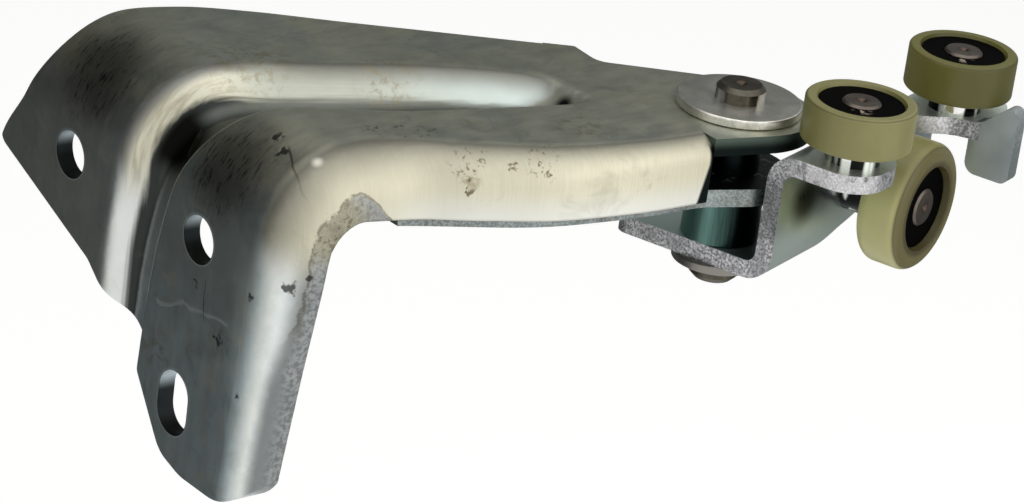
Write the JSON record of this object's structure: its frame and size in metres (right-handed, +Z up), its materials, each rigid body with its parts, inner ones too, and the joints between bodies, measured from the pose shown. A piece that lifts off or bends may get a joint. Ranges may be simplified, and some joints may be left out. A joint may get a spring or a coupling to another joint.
{
  "type": "sliding door roller guide",
  "caption": "Pressed-steel door arm with a grooved bend and a bolt flange, carrying a swivelling carriage with two upright guide rollers and a load roller that run in a rail.",
  "frame": {"origin": "on the door contact face, midway between the two round bolt holes", "axes": "+Z up along the pivot, +X from the contact face towards the arm, +Y from the front bolt hole to the rear one"},
  "size_m": [0.2243, 0.1857, 0.1132],
  "materials": {
    "arm_zinc": "zinc-plated pressed steel, slightly stained",
    "plate_zinc": "dull zinc-plated plate, oily near the pivot",
    "oiled_steel": "dark oiled steel",
    "carriage_zinc": "zinc-plated plate with grainy cut edges",
    "washer_zinc": "zinc-plated, satin",
    "pin_steel": "turned steel",
    "axle_steel": "bright turned steel, grey formed head",
    "bearing_steel": "ground bearing steel",
    "seal_rubber": "black seal",
    "tyre_polymer": "translucent olive-cream moulding"
  },
  "bodies": {
    "arm": {"arm_pressing": "arm_zinc", "arm_lower_plate": "plate_zinc", "pivot_bush": "oiled_steel"},
    "carriage": {"carriage_bracket": "carriage_zinc", "pivot_pin": "pin_steel", "pivot_washer": "washer_zinc", "pivot_hub": "oiled_steel", "pivot_lower_washer": "washer_zinc", "front_guide_axle": "axle_steel", "front_guide_bearing_inner_ring": "bearing_steel", "rear_guide_axle": "axle_steel", "rear_guide_bearing_inner_ring": "bearing_steel", "load_axle": "axle_steel", "load_bearing_inner_ring": "bearing_steel"},
    "front_guide_roller": {"front_guide_tyre": "tyre_polymer", "front_guide_bearing_outer_ring": "bearing_steel", "front_guide_outer_seal": "seal_rubber", "front_guide_inner_seal": "seal_rubber"},
    "front_guide_ball_set": {"front_guide_balls": "bearing_steel"},
    "rear_guide_roller": {"rear_guide_tyre": "tyre_polymer", "rear_guide_bearing_outer_ring": "bearing_steel", "rear_guide_outer_seal": "seal_rubber", "rear_guide_inner_seal": "seal_rubber"},
    "rear_guide_ball_set": {"rear_guide_balls": "bearing_steel"},
    "load_roller": {"load_tyre": "tyre_polymer", "load_bearing_outer_ring": "bearing_steel", "load_outer_seal": "seal_rubber", "load_inner_seal": "seal_rubber"},
    "load_ball_set": {"load_balls": "bearing_steel"}
  },
  "joints": [
    {"name": "carriage_swivel", "type": "hinge", "parent": "arm", "child": "carriage", "pos_m": [0.14, -0.0754, 0], "axis": [0, 0, 1], "range_deg": [-35, 100]},
    {"name": "front_guide_spin", "type": "hinge", "parent": "carriage", "child": "front_guide_roller", "pos_m": [0.15299, -0.10747, 0.04], "axis": [0, 0, 1], "continuous": true},
    {"name": "front_guide_ball_orbit", "type": "hinge", "parent": "carriage", "child": "front_guide_ball_set", "pos_m": [0.15299, -0.10747, 0.04], "axis": [0, 0, 1], "continuous": true},
    {"name": "rear_guide_spin", "type": "hinge", "parent": "carriage", "child": "rear_guide_roller", "pos_m": [0.20766, -0.08997, 0.04], "axis": [0, 0, 1], "continuous": true},
    {"name": "rear_guide_ball_orbit", "type": "hinge", "parent": "carriage", "child": "rear_guide_ball_set", "pos_m": [0.20766, -0.08997, 0.04], "axis": [0, 0, 1], "continuous": true},
    {"name": "load_spin", "type": "hinge", "parent": "carriage", "child": "load_roller", "pos_m": [0.1817, -0.103, 0.01], "axis": [0.3049, -0.9524, 0], "continuous": true},
    {"name": "load_ball_orbit", "type": "hinge", "parent": "carriage", "child": "load_ball_set", "pos_m": [0.1817, -0.103, 0.01], "axis": [0.3049, -0.9524, 0], "continuous": true}
  ],
  "couplings": [
    {"joint": "front_guide_ball_orbit", "follows": "front_guide_spin", "ratio": 0.6121},
    {"joint": "rear_guide_ball_orbit", "follows": "rear_guide_spin", "ratio": 0.6121},
    {"joint": "load_ball_orbit", "follows": "load_spin", "ratio": 0.6121}
  ]
}
